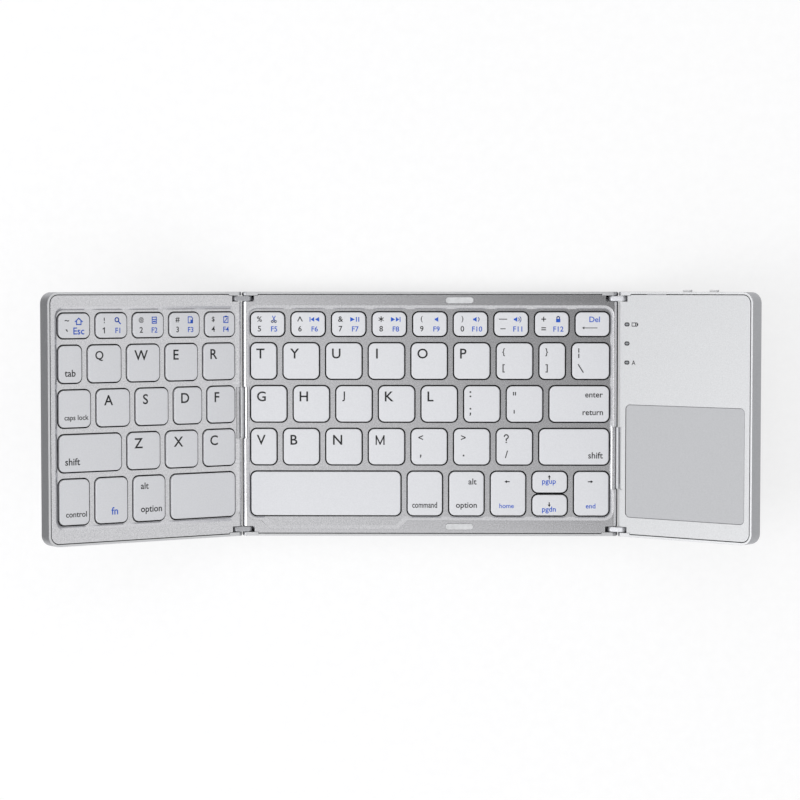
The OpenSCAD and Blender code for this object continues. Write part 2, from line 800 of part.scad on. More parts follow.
module right_top_cover() {
    wall = skin_thickness;
    color("gainsboro") right_place() difference() {
        frame_block(right_panel, true, false);
        // the room behind the touchpad and for the board, inside a wall on all sides
        block([joint_margin, right_width - frame_inset - wall, -edge_y + frame_inset + wall,
               edge_y - frame_inset - wall], 1, 0, sensor_z);
        block(grown(pad_box, pad_flange + pad_gap), pad_radius, sensor_z - cut, cover_z);
        block(grown(pad_box, pad_gap), pad_radius + pad_gap, cover_z - cut, top_z + cut);
        for (i = [0:2]) light_window(i, seat_clearance / 2, sensor_z - cut, top_z + cut);
        knob_slot(power_switch_u);
        knob_slot(mode_switch_u);
        port_hole();
        frame_joint_cuts(right_guard_length, right_guard_y);
    }
}

module touchpad() {
    color("darkgray") right_place() {
        block(pad_box, pad_radius, cover_z, top_z - pad_drop);
        block(grown(pad_box, pad_flange), pad_radius, sensor_z, cover_z);
    }
}

module battery() {
    color("lightsteelblue") right_place()
        block([battery_x, battery_x + battery_width, battery_y, battery_y + battery_depth], 1,
              floor_thickness, floor_thickness + battery_thickness);
}

module main_board() {
    color("seagreen") right_place() {
        b = [pad_box[0], pad_box[1], board_y, edge_y - frame_inset - skin_thickness - 2.5];
        block(b, 0.5, board_z, board_z + board_thickness);
        // switch bodies behind the knobs, and the radio and charging circuits
        for (u = [power_switch_u, mode_switch_u])
            translate([u + knob_travel / 2 - 4, b[3] - 3.2, board_z + board_thickness])
                cube([8, 3, knob_height]);
        for (u = [b[0] + 12, b[0] + 24, b[0] + 37])
            translate([u, board_y + 4, board_z + board_thickness]) cube([7, 7, 1]);
    }
}

module charging_port() {
    color("silver") right_place() translate([port_u, edge_y - 0.3, port_z]) difference() {
        translate([-port_width / 2, -port_length, 0]) cube([port_width, port_length, port_height]);
        translate([-port_width / 2 + port_wall, -port_length + 1, port_wall])
            cube([port_width - 2 * port_wall, port_length, port_height - 2 * port_wall]);
    }
    color("dimgray") right_place() translate([port_u, edge_y - 0.3, port_z + port_height / 2])
        translate([-port_width / 2 + 1.4, -port_length + 1, -0.35]) cube([port_width - 2.8, port_length - 2, 0.7]);
}

module status_lights() {
    color("white") right_place() for (i = [0:2])
        light_window(i, 0, board_z + board_thickness + seat_clearance, top_z);
}

// Slide switch knob, at the joint end of its slot
module switch_knob(u) {
    inner = edge_y - frame_inset - skin_thickness - seat_clearance;
    color("silver") right_place() translate([u - knob_width / 2, inner, switch_z - knob_height / 2])
        cube([knob_width, edge_y + knob_reach - inner, knob_height]);
    color("silver") right_place()
        translate([u - knob_width / 2, inner - 2, switch_z - knob_height / 2])
            cube([knob_width, 2, knob_height]);
}

module power_switch_knob() { switch_knob(power_switch_u); }
module connection_switch_knob() { switch_knob(mode_switch_u); }

module right_feet() {
    color("dimgray") right_place() feet(right_foot_places);
}

module right_hinge_pins() {
    color("darkgray") right_place() at_front_and_back() hinge_pin();
}

// ---------------------------------------------------------------- links between the panels

// Double-pivot link, drawn with its inner pivot on the Y axis
module hinge_link() {
    translate([0, link_y, 0]) difference() {
        union() {
            for (x = [0, pivot_pitch]) translate([x, 0, 0]) y_bar(link_radius, 0, link_thickness);
            translate([0, 0, -link_radius]) cube([pivot_pitch, link_thickness, 2 * link_radius]);
        }
        for (x = [0, pivot_pitch]) translate([x, 0, 0])
            y_bar(pin_radius + pin_clearance, -cut, link_thickness + cut);
    }
}

// Slim sleeve that covers the ribbon cable between two panels
module cable_guard(length, y) {
    slot = ribbon_thickness + seat_clearance;
    translate([pivot_pitch / 2, y, 0]) difference() {
        y_bar(guard_radius, -length / 2, length / 2);
        translate([-cut, -length / 2 + 2 - seat_clearance, -slot / 2])
            cube([2 * cut, length - 4 + 2 * seat_clearance, slot]);
    }
}

module ribbon_cable(length, y) {
    span = pivot_pitch - 2 * guard_core - seat_clearance;
    translate([(pivot_pitch - span) / 2, y - length / 2 + 2, -ribbon_thickness / 2])
        cube([span, length - 4, ribbon_thickness]);
}

module left_link_place() {
    mirror([1, 0, 0]) link_place(left_fold) children();
}

module left_hinge_links() { color("lightgray") left_link_place() at_front_and_back() hinge_link(); }
module right_hinge_links() { color("lightgray") link_place(right_fold) at_front_and_back() hinge_link(); }
module left_cable_guard() {
    color("lightgray") left_link_place() cable_guard(left_guard_length, left_guard_y);
}
module right_cable_guard() {
    color("lightgray") link_place(right_fold) cable_guard(right_guard_length, right_guard_y);
}
module left_ribbon_cable() {
    color("peru") left_link_place() ribbon_cable(left_guard_length, left_guard_y);
}
module right_ribbon_cable() {
    color("peru") link_place(right_fold) ribbon_cable(right_guard_length, right_guard_y);
}

// ---------------------------------------------------------------- nodes

centre_bottom_case();
left_bottom_case();
right_bottom_case();
centre_key_frame();
left_key_frame();
right_top_cover();
centre_backplate();
left_backplate();
centre_membrane();
left_membrane();
centre_domes();
left_domes();
centre_scissors();
left_scissors();
centre_feet();
left_feet();
right_feet();
rim_bumpers();
left_hinge_links();
right_hinge_links();
left_cable_guard();
right_cable_guard();
left_ribbon_cable();
right_ribbon_cable();
centre_hinge_pins();
left_hinge_pins();
right_hinge_pins();
battery();
main_board();
touchpad();
charging_port();
status_lights();
power_switch_knob();
connection_switch_knob();
escape_key();
left_number_keys();
tab_key();
left_upper_letter_keys();
caps_lock_key();
left_middle_letter_keys();
left_shift_key();
left_lower_letter_keys();
control_key();
function_key();
left_alt_key();
left_space_key();
backspace_key();
centre_number_keys();
centre_upper_letter_keys();
enter_key();
centre_middle_letter_keys();
right_shift_key();
centre_lower_letter_keys();
right_space_key();
command_key();
right_alt_key();
left_arrow_key();
up_arrow_key();
down_arrow_key();
right_arrow_key();
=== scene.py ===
"""Tri-fold keyboard: a left wing and a centre panel with keys, and a right wing with a touchpad."""
import json
import math

import bmesh
import bpy
from mathutils import Matrix, Vector


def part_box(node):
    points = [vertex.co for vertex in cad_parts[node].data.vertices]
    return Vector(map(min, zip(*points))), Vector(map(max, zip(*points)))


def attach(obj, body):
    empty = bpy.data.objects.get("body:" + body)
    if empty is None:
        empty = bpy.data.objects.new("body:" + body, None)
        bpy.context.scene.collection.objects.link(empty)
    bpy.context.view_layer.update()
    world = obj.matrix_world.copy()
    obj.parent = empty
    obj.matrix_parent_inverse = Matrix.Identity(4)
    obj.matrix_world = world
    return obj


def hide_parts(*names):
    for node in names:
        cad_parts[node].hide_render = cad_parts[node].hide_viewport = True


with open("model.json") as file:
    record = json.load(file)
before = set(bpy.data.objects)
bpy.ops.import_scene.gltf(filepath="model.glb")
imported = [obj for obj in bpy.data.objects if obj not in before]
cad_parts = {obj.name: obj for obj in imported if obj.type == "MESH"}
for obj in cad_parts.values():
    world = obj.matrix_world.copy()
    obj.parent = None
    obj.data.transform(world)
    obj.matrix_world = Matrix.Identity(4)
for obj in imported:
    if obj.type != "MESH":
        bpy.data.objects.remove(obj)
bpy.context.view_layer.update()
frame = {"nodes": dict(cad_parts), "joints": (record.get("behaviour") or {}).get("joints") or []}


# ---------------------------------------------------------------- bottom cases
# Each panel has a moulded tray in silver metallic paint. Its floor carries everything else, the level top
# of its rim is painted lighter, partly as a polished edge and partly as a painted highlight that shows
# from above as a line round the top frame, its walls at the joints are painted near black as painted
# shade for the gap between the panels, and its ears hold the hinge pins.

def shader_sockets(material):
    return material.node_tree.nodes["Principled BSDF"].inputs


def linear(r, g, b):
    """A colour as it is read off a screen, 0 to 255, in linear light."""
    parts = [c / 255 for c in (r, g, b)]
    return [c / 12.92 if c <= 0.04045 else ((c + 0.055) / 1.055) ** 2.4 for c in parts] + [1.0]


NOISE_LOW, NOISE_HIGH = 0.3, 0.7     # nearly all of the noise lies between these


def grained(name, dark, light, grain_mm, roughness, bump_mm=0.0, metallic=0.0, roughness_swing=0.0,
            detail=2.0):
    """A finish whose colour, gloss and surface vary with one fine grain of the given size."""
    material = bpy.data.materials.new(name)
    material.use_nodes = True
    nodes, links = material.node_tree.nodes, material.node_tree.links
    sockets = shader_sockets(material)
    place = nodes.new("ShaderNodeTexCoord")
    grain = nodes.new("ShaderNodeTexNoise")
    grain.inputs["Scale"].default_value = 1000 / grain_mm
    grain.inputs["Detail"].default_value = detail
    links.new(place.outputs["Object"], grain.inputs["Vector"])
    spread = nodes.new("ShaderNodeMapRange")
    spread.inputs["From Min"].default_value = NOISE_LOW
    spread.inputs["From Max"].default_value = NOISE_HIGH
    links.new(grain.outputs["Fac"], spread.inputs["Value"])
    tint = nodes.new("ShaderNodeMix")
    tint.data_type = "RGBA"
    tint.inputs[6].default_value = dark
    tint.inputs[7].default_value = light
    links.new(spread.outputs["Result"], tint.inputs["Factor"])
    links.new(tint.outputs[2], sockets["Base Color"])
    if roughness_swing:
        gloss = nodes.new("ShaderNodeMapRange")
        gloss.inputs["To Min"].default_value = roughness - roughness_swing
        gloss.inputs["To Max"].default_value = roughness + roughness_swing
        links.new(grain.outputs["Fac"], gloss.inputs["Value"])
        links.new(gloss.outputs["Result"], sockets["Roughness"])
    else:
        sockets["Roughness"].default_value = roughness
    if bump_mm:
        bump = nodes.new("ShaderNodeBump")
        bump.inputs["Strength"].default_value = 1.0
        bump.inputs["Distance"].default_value = bump_mm / 1000
        links.new(grain.outputs["Fac"], bump.inputs["Height"])
        links.new(bump.outputs["Normal"], sockets["Normal"])
    sockets["Metallic"].default_value = metallic
    return material


# sizes are in millimetres, save where a comment says metres
BESIDE_OPENING = 0.55     # from what fills an opening, wider than its clearance
SAME_POINT = 2e-6         # in metres, between the corners of neighbouring facets
SLIVER = 3e-5             # in metres, the shortest edge that is kept
FLAT_TURN = math.radians(1)        # widest turn inside a flat face
CURVED_TURN = math.radians(13)     # widest turn between the facets of a curved surface
SHARP_TURN = math.radians(30)      # outward edges that turn more are rounded


def opening_boxes(fillings):
    """The space of each node that fills openings, with the openings' edges round it."""
    beside = Vector((BESIDE_OPENING, BESIDE_OPENING, BESIDE_OPENING)) / 1000
    return [(lo - beside, hi + beside) for lo, hi in map(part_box, fillings)]


def is_inside(place, boxes):
    return any(all(lo[i] <= place[i] <= hi[i] for i in range(3)) for lo, hi in boxes)


def shell_mesh(node, filled_by):
    """A CAD piece's own mesh as clean faces, welded and with its flat faces whole, save for a cut
    across the middle of each node that fills openings in it, so that no face has a hole. Its sharp
    outward edges are marked to be rounded, but not those of the openings."""
    mesh = frame["nodes"][node].data.copy()
    shape = bmesh.new()
    shape.from_mesh(mesh)
    bmesh.ops.remove_doubles(shape, verts=shape.verts, dist=SAME_POINT)
    for filling in filled_by:
        middle = sum(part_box(filling), Vector()) / 2
        cut = bmesh.ops.bisect_plane(shape, geom=shape.verts[:] + shape.edges[:] + shape.faces[:],
                                     plane_co=middle, plane_no=(0, 1, 0))
        for part in cut["geom_cut"]:
            if isinstance(part, bmesh.types.BMEdge):
                part.seam = True
    bmesh.ops.dissolve_limit(shape, angle_limit=FLAT_TURN, verts=shape.verts, edges=shape.edges,
                             delimit={"SEAM"})
    bmesh.ops.dissolve_degenerate(shape, dist=SLIVER, edges=shape.edges)
    for face in shape.faces:
        face.smooth = True
    openings = opening_boxes(filled_by)
    rounding = shape.edges.layers.float.new("bevel_weight_edge")
    for edge in shape.edges:
        angle = edge.calc_face_angle_signed(0)
        middle = (edge.verts[0].co + edge.verts[1].co) / 2
        edge[rounding] = angle > SHARP_TURN and not is_inside(middle, openings)
        edge.smooth = abs(angle) < CURVED_TURN or edge[rounding] > 0
    shape.to_mesh(mesh)
    shape.free()
    return mesh


def ride_as(piece, body, slot, *nodes):
    """The piece moves with the body and stands for the nodes, which it hides. The slot is not used."""
    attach(piece, body)
    if nodes:
        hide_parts(*nodes)
    return piece


def in_scene(name, mesh, material):
    mesh.materials.clear()
    mesh.materials.append(material)
    piece = bpy.data.objects.new(name, mesh)
    bpy.context.scene.collection.objects.link(piece)
    return piece


def rounded(name, node, body, slot, material, edge_mm, filled_by=()):
    """A CAD piece with its sharp edges rounded, as a moulded or pressed piece has them."""
    piece = in_scene(name, shell_mesh(node, filled_by), material)
    rounding = piece.modifiers.new("edge_rounding", "BEVEL")
    rounding.width = edge_mm / 1000
    rounding.segments = 2
    rounding.limit_method = "WEIGHT"
    rounding.use_clamp_overlap = False
    rounding.miter_outer = "MITER_ARC"
    flats = piece.modifiers.new("flat_faces", "WEIGHTED_NORMAL")
    flats.keep_sharp = True
    return ride_as(piece, body, slot, node)


case_paint = grained("case_paint", linear(166, 167, 170), linear(182, 183, 186), grain_mm=0.35,
                     roughness=0.4, bump_mm=0.002, metallic=0.8)
# lighter finish of the rim's level top: partly a polished edge, partly a painted highlight that stands for
# the light its edge catches
rim_polish_and_highlight = grained("rim_polish_and_highlight", linear(206, 207, 209), linear(216, 217, 219), grain_mm=0.35,
                     roughness=0.35, bump_mm=0.001, metallic=0.5)
# painted shade: near black, for the deep gaps at the joints and round the keys, where the walls lie in shade
painted_gap_shade = grained("painted_gap_shade", linear(42, 43, 46), linear(50, 51, 54), grain_mm=0.45,
                        roughness=0.6)
PANELS = {"centre": "centre_panel", "left": "left_wing", "right": "right_wing"}
CASE_EDGE = 0.12          # round edge of a tray
FACES_UP = 0.999          # least cosine of a level face's tilt
SIDEWAYS = 0.5            # a joint wall's normal has less than this along the panel's up and along Y
SAME_HEIGHT = 1e-5        # in metres
panel_up = {}             # each panel's upward direction, by side


def shade_joint_walls(piece, up):
    """Paints the walls that face the neighbouring panel near black, as painted shade for the deep gap
    between the panels; the hinge links lie between such walls. Gives the number of that shade finish on the
    piece."""
    gap_shade = len(piece.data.materials)
    piece.data.materials.append(painted_gap_shade)
    joints = [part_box(f"{side}_hinge_links") for side in ("left", "right")]
    for face in piece.data.polygons:
        steep = abs(face.normal.dot(up)) < SIDEWAYS and abs(face.normal.y) < SIDEWAYS
        if steep and any(lo.x < face.center.x < hi.x for lo, hi in joints):
            face.material_index = gap_shade
    return gap_shade


for side, body in PANELS.items():
    tray = rounded(f"{side}_tray", f"{side}_bottom_case", body, "case", case_paint, CASE_EDGE)
    rim = len(tray.data.materials)
    tray.data.materials.append(rim_polish_and_highlight)
    floor_normal = max(tray.data.polygons, key=lambda face: face.area).normal
    up = panel_up[side] = floor_normal.copy() if floor_normal.z > 0 else -floor_normal
    # the rim's level top faces take the lighter finish, which is in part a painted highlight
    level = [face for face in tray.data.polygons if face.normal.dot(up) > FACES_UP]
    rim_height = max(face.center.dot(up) for face in level)
    for face in level:
        if rim_height - face.center.dot(up) < SAME_HEIGHT:
            face.material_index = rim
    # the tray's walls at the joints take the painted shade
    shade_joint_walls(tray, up)


# ---------------------------------------------------------------- feet and rim bumpers
# Thin feet of grey rubber are pressed into the cases' undersides, and two soft clear pills on the
# centre panel's rim keep the folded wings off it.

foot_rubber = grained("foot_rubber", linear(58, 58, 62), linear(74, 74, 78), grain_mm=0.6, roughness=0.82,
                      bump_mm=0.01)
for side, body in PANELS.items():
    rounded(f"{side}_foot_pads", f"{side}_feet", body, "foot", foot_rubber, edge_mm=0.15)

bumper_gel = grained("bumper_gel", linear(206, 207, 209), linear(220, 221, 223), grain_mm=1.5,
                     roughness=0.42)
gel_sockets = shader_sockets(bumper_gel)
gel_sockets["Subsurface Weight"].default_value = 0.3
gel_sockets["Subsurface Radius"].default_value = (0.001, 0.001, 0.001)
rounded("rim_bumper_pills", "rim_bumpers", "centre_panel", "bumper", bumper_gel, edge_mm=0.1)


# ---------------------------------------------------------------- key mechanism
# A pressed metal plate lies on each tray's floor. On it lie the printed switch film, one silicone
# dome for each key, and a crossed pair of levers that keeps the cap level as it goes down.

def finish_node(node, material):
    """Gives a CAD piece that stays as it is its finish."""
    mesh = frame["nodes"][node].data
    mesh.materials.clear()
    mesh.materials.append(material)


plate_metal = grained("plate_metal", linear(96, 97, 100), linear(120, 121, 124), grain_mm=0.8,
                      roughness=0.45, metallic=1.0)
switch_film = grained("switch_film", linear(40, 42, 44), linear(54, 56, 58), grain_mm=2.5, roughness=0.3)
dome_silicone = grained("dome_silicone", linear(120, 122, 122), linear(138, 140, 140), grain_mm=0.7,
                        roughness=0.6)
lever_plastic = grained("lever_plastic", linear(70, 71, 73), linear(84, 85, 87), grain_mm=0.5,
                        roughness=0.5)
for side in ("centre", "left"):
    finish_node(f"{side}_backplate", plate_metal)
    finish_node(f"{side}_membrane", switch_film)
    finish_node(f"{side}_domes", dome_silicone)
    finish_node(f"{side}_scissors", lever_plastic)


# ---------------------------------------------------------------- hinge links, pins and cable guards
# Two satin metal links join each wing to the centre panel, on ground steel pins. A slim sleeve in
# each joint covers the dark ribbon cable that crosses it, and turns with the links.

link_metal = grained("link_metal", linear(178, 179, 183), linear(198, 199, 203), grain_mm=0.4,
                     roughness=0.42, bump_mm=0.002, metallic=0.7)
pin_steel = grained("pin_steel", linear(150, 151, 154), linear(176, 177, 180), grain_mm=0.3,
                    roughness=0.28, metallic=1.0)
guard_plastic = grained("guard_plastic", linear(190, 191, 194), linear(206, 207, 210), grain_mm=0.4,
                        roughness=0.38, metallic=0.5)
ribbon_film = grained("ribbon_film", linear(66, 62, 58), linear(78, 74, 70), grain_mm=1.0, roughness=0.35)
for side in ("left", "right"):
    link = f"{side}_link"
    rounded(f"{side}_joint_links", f"{side}_hinge_links", link, "link", link_metal, edge_mm=0.2)
    rounded(f"{side}_ribbon_sleeve", f"{side}_cable_guard", link, "guard", guard_plastic, edge_mm=0.08)
    finish_node(f"{side}_ribbon_cable", ribbon_film)
for side in ("centre", "left", "right"):
    finish_node(f"{side}_hinge_pins", pin_steel)


# ---------------------------------------------------------------- top frames
# The centre panel and the left wing have a moulded frame in the same silver paint, glued inside the
# tray's rim. Its sunk field has one opening for each key. The openings' upright walls are painted near
# black, as painted shade for the deep gap round each key.

frame_paint = grained("frame_paint", linear(196, 196, 199), linear(222, 222, 225), grain_mm=0.45,
                      roughness=0.18, bump_mm=0.002, metallic=0.85, detail=4.0)
FRAME_EDGE = 0.1          # round edge of a frame or cover
UPRIGHT = 0.01            # an upright wall's normal has less than this along the panel's up

CENTRE_KEYS = ("backspace_key", "centre_number_keys", "centre_upper_letter_keys", "enter_key",
               "centre_middle_letter_keys", "right_shift_key", "centre_lower_letter_keys",
               "right_space_key", "command_key", "right_alt_key", "left_arrow_key", "up_arrow_key",
               "down_arrow_key", "right_arrow_key")
LEFT_KEYS = ("escape_key", "left_number_keys", "tab_key", "left_upper_letter_keys", "caps_lock_key",
             "left_middle_letter_keys", "left_shift_key", "left_lower_letter_keys", "control_key",
             "function_key", "left_alt_key", "left_space_key")
for side, keys in (("centre", CENTRE_KEYS), ("left", LEFT_KEYS)):
    top_frame = rounded(f"{side}_frame", f"{side}_key_frame", PANELS[side], "frame", frame_paint,
                        FRAME_EDGE, filled_by=keys)
    gap_shade = shade_joint_walls(top_frame, panel_up[side])
    openings = opening_boxes(keys)
    # the openings' upright walls take the same painted shade for the deep gap round each key
    for face in top_frame.data.polygons:
        if abs(face.normal.dot(panel_up[side])) < UPRIGHT and is_inside(face.center, openings):
            face.material_index = gap_shade


# ---------------------------------------------------------------- keycaps
# Each key has its own hollow cap of satin light grey plastic, clipped to its levers. Its top is
# flat, with a faint fall along the border and a small round edge, and it stands above the field.

CAP_WALL = 0.9        # wall and roof
CAP_EDGE = 0.28       # round edge of the top
CAP_DRAW = 0.1        # how far the finished sides lie inside the key's own box
CAP_BORDER = 0.5      # width of the fall round the flat of the top
CAP_FALL = 0.04       # how far that border falls
CAP_CORNER = 2.2      # corner seen from above
ROUND_STEPS = 6       # facets of a round edge or corner
WELD = 0.002          # points that lie nearer than this are one


def add_node(tree, kind, feeds=None, **settings):
    """One node of a tree; feeds gives its inputs by name or number, as values or other sockets."""
    node = tree.nodes.new(kind)
    for setting, value in settings.items():
        setattr(node, setting, value)
    for socket, value in (feeds or {}).items():
        if isinstance(value, bpy.types.NodeSocket):
            tree.links.new(value, node.inputs[socket])
        else:
            node.inputs[socket].default_value = value
    return node


def sum_of(tree, operation, *terms):
    """Folds the terms from the left with one operation, and gives the last socket."""
    total = terms[0]
    for term in terms[1:]:
        total = add_node(tree, "ShaderNodeMath", {0: total, 1: term}, operation=operation).outputs[0]
    return total


def point(tree, x=0.0, y=0.0, z=0.0):
    return add_node(tree, "ShaderNodeCombineXYZ", {"X": x, "Y": y, "Z": z}).outputs[0]


def line(tree, start, end):
    return add_node(tree, "GeometryNodeCurvePrimitiveLine", {"Start": start, "End": end}).outputs[0]


def keycap_tree():
    """One cap in millimetres, with the middle of its top at the origin: a profile of the border,
    the round edge, the skirt and the inner wall follows the outline of the flat, and both are filled."""
    tree = bpy.data.node_groups.new("keycap", "GeometryNodeTree")
    sizes = ("Width", "Depth", "Height", "Corner", "Edge", "Border", "Fall", "Wall")
    for size in sizes:
        tree.interface.new_socket(size, in_out="INPUT", socket_type="NodeSocketFloat")
    tree.interface.new_socket("Material", in_out="INPUT", socket_type="NodeSocketMaterial")
    tree.interface.new_socket("Cap", in_out="OUTPUT", socket_type="NodeSocketGeometry")
    given = tree.nodes.new("NodeGroupInput").outputs
    width, depth, height, corner, edge, border, fall, wall = [given[size] for size in sizes]

    reach = sum_of(tree, "ADD", edge, border)
    flat_outline = add_node(tree, "GeometryNodeFilletCurve", {
        "Curve": add_node(tree, "GeometryNodeCurvePrimitiveQuadrilateral", {
            "Width": sum_of(tree, "SUBTRACT", width, reach, reach),
            "Height": sum_of(tree, "SUBTRACT", depth, reach, reach)}).outputs[0],
        "Count": ROUND_STEPS, "Radius": sum_of(tree, "SUBTRACT", corner, reach)}, mode="POLY").outputs[0]

    # the profile runs outwards along X and down along Y
    edge_low = sum_of(tree, "ADD", fall, edge)
    inner = sum_of(tree, "SUBTRACT", reach, wall)
    round_edge = add_node(tree, "GeometryNodeTransform", {
        "Geometry": add_node(tree, "GeometryNodeCurveArc", {
            "Resolution": ROUND_STEPS, "Radius": edge,
            "Start Angle": -math.pi / 2, "Sweep Angle": math.pi / 2}).outputs[0],
        "Translation": point(tree, border, edge_low)}).outputs[0]
    profile = tree.nodes.new("GeometryNodeJoinGeometry")
    for part in (
        line(tree, point(tree), point(tree, border, fall)),
        round_edge,
        line(tree, point(tree, reach, edge_low), point(tree, reach, height)),
        line(tree, point(tree, reach, height), point(tree, inner, height)),
        line(tree, point(tree, inner, height), point(tree, inner, wall)),
    ):
        tree.links.new(part, profile.inputs[0])
    walls = add_node(tree, "GeometryNodeMergeByDistance", {
        "Geometry": add_node(tree, "GeometryNodeCurveToMesh", {
            "Curve": flat_outline, "Profile Curve": profile.outputs[0]}).outputs[0],
        "Distance": WELD}).outputs[0]

    # the open loop at the foot of the inner wall's top is the outline of the roof's underside
    position = tree.nodes.new("GeometryNodeInputPosition").outputs[0]
    height_at = add_node(tree, "ShaderNodeSeparateXYZ", {0: position}).outputs["Z"]
    half_down = sum_of(tree, "MULTIPLY", wall, -0.5)
    low = add_node(tree, "FunctionNodeCompare", {0: height_at, 1: half_down},
                   data_type="FLOAT", operation="LESS_THAN").outputs[0]
    neighbours = tree.nodes.new("GeometryNodeInputMeshEdgeNeighbors").outputs[0]
    open_edge = add_node(tree, "FunctionNodeCompare", {2: neighbours, 3: 1}, data_type="INT",
                         operation="EQUAL").outputs[0]
    low_loop = add_node(tree, "FunctionNodeBooleanMath", {0: low, 1: open_edge}, operation="AND").outputs[0]
    roof = add_node(tree, "GeometryNodeTransform", {
        "Geometry": add_node(tree, "GeometryNodeFillCurve", {
            "Curve": add_node(tree, "GeometryNodeMeshToCurve", {
                "Mesh": walls, "Selection": low_loop}).outputs[0]}, mode="NGONS").outputs[0],
        "Translation": point(tree, z=sum_of(tree, "MULTIPLY", wall, -1.0))}).outputs[0]
    top = add_node(tree, "GeometryNodeFillCurve", {"Curve": flat_outline}, mode="NGONS").outputs[0]

    cap = tree.nodes.new("GeometryNodeJoinGeometry")
    for part in (walls, roof, top):
        tree.links.new(part, cap.inputs[0])
    welded = add_node(tree, "GeometryNodeMergeByDistance", {"Geometry": cap.outputs[0], "Distance": WELD})
    solid = add_node(tree, "GeometryNodeRealizeInstances", {"Geometry": welded.outputs[0]})
    smooth = add_node(tree, "GeometryNodeSetShadeSmooth", {"Geometry": solid.outputs[0]})
    painted = add_node(tree, "GeometryNodeSetMaterial", {"Geometry": smooth.outputs[0],
                                                         "Material": given["Material"]})
    tree.links.new(painted.outputs[0], tree.nodes.new("NodeGroupOutput").inputs[0])
    return tree


def grown_mesh(tree, **inputs):
    """What a tree makes of the named inputs, as a plain mesh."""
    carrier = bpy.data.objects.new("carrier", bpy.data.meshes.new("carrier"))
    bpy.context.scene.collection.objects.link(carrier)
    modifier = carrier.modifiers.new("form", "NODES")
    modifier.node_group = tree
    for socket in tree.interface.items_tree:
        if socket.in_out == "INPUT" and socket.name in inputs:
            modifier[socket.identifier] = inputs[socket.name]
    made = bpy.data.meshes.new_from_object(carrier.evaluated_get(bpy.context.evaluated_depsgraph_get()))
    bpy.data.objects.remove(carrier)
    return made


def put_together(name, meshes, *materials):
    """One piece of several meshes that are in place already, with its faces turned outwards."""
    shape = bmesh.new()
    for mesh in meshes:
        shape.from_mesh(mesh)
        bpy.data.meshes.remove(mesh)
    bmesh.ops.recalc_face_normals(shape, faces=shape.faces)
    whole = bpy.data.meshes.new(name)
    shape.to_mesh(whole)
    shape.free()
    for material in materials:
        whole.materials.append(material)
    piece = bpy.data.objects.new(name, whole)
    bpy.context.scene.collection.objects.link(piece)
    return piece


# A panel's own frame is in millimetres: +Z from its underside, and X from the middle of the centre
# panel, or from a wing's joint edge, where the left wing lies on the negative side.
tray_lo, tray_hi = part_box("centre_bottom_case")
foot_height = tray_lo.z * 1000
joints = {joint["name"]: joint for joint in frame["joints"]}
millimetres = Matrix.Scale(0.001, 4)


def wing_frame(side, outwards):
    """From the wing's own millimetres to the row frame. The wing's pivot is as far from its edge as
    the centre panel's pivot is, and both pivots' line has half of the wing's fold."""
    inner, outer = [Vector(joints[f"{side}_{part}_turn"]["pos_m"]) for part in ("link", "wing")]
    fold = 2 * math.atan2(outer.z - inner.z, abs(outer.x - inner.x))
    inset = max(abs(tray_lo.x), tray_hi.x) - abs(inner.x)
    pivot = Vector((outwards * inset, 0, inner.z - foot_height / 1000))
    return (Matrix.Translation(outer) @ Matrix.Rotation(-outwards * fold, 4, "Y")
            @ Matrix.Translation(-pivot) @ millimetres)


panel_frames = {
    "centre": Matrix.Translation((0, 0, foot_height / 1000)) @ millimetres,
    "left": wing_frame("left", -1),
    "right": wing_frame("right", 1),
}


def solid_boxes(node, side):
    """Lowest and highest corners of a node's separate solids in their panel's frame, left to right."""
    shape = bmesh.new()
    shape.from_mesh(frame["nodes"][node].data)
    bmesh.ops.remove_doubles(shape, verts=shape.verts, dist=SAME_POINT)
    to_panel = panel_frames[side].inverted()
    boxes, seen = [], set()
    for start in shape.verts:
        if start in seen:
            continue
        seen.add(start)
        waiting, corners = [start], []
        while waiting:
            vert = waiting.pop()
            corners.append(to_panel @ vert.co)
            for edge in vert.link_edges:
                other = edge.other_vert(vert)
                if other not in seen:
                    seen.add(other)
                    waiting.append(other)
        boxes.append([Vector([pick(c[axis] for c in corners) for axis in range(3)]) for pick in (min, max)])
    shape.free()
    return sorted(boxes, key=lambda box: box[0].x)


key_side = {**{node: "centre" for node in CENTRE_KEYS}, **{node: "left" for node in LEFT_KEYS}}
key_boxes = {node: solid_boxes(node, side) for node, side in key_side.items()}

key_plastic = grained("key_plastic", linear(216, 217, 221), linear(222, 223, 227), grain_mm=0.5,
                      roughness=0.5, bump_mm=0.0015, roughness_swing=0.05)
cap_form = keycap_tree()
for node, side in key_side.items():
    caps = []
    for lo, hi in key_boxes[node]:
        cap = grown_mesh(cap_form, Width=hi.x - lo.x - 2 * CAP_DRAW,
                         Depth=hi.y - lo.y - 2 * CAP_DRAW, Height=hi.z - lo.z,
                         Corner=CAP_CORNER, Edge=CAP_EDGE, Border=CAP_BORDER, Fall=CAP_FALL,
                         Wall=CAP_WALL, Material=key_plastic)
        middle = Matrix.Translation(((lo.x + hi.x) / 2, (lo.y + hi.y) / 2, hi.z))
        cap.transform(panel_frames[side] @ middle)
        caps.append(cap)
    ride_as(put_together(f"{node}_caps", caps, key_plastic), f"{node}_body", "keycap", node)


# ---------------------------------------------------------------- printed legends
# Letters, digits and signs are printed on the caps in dark grey, and what a key does together with
# the function key is printed in blue. The ink is a very thin solid that is sunk a little in the cap.

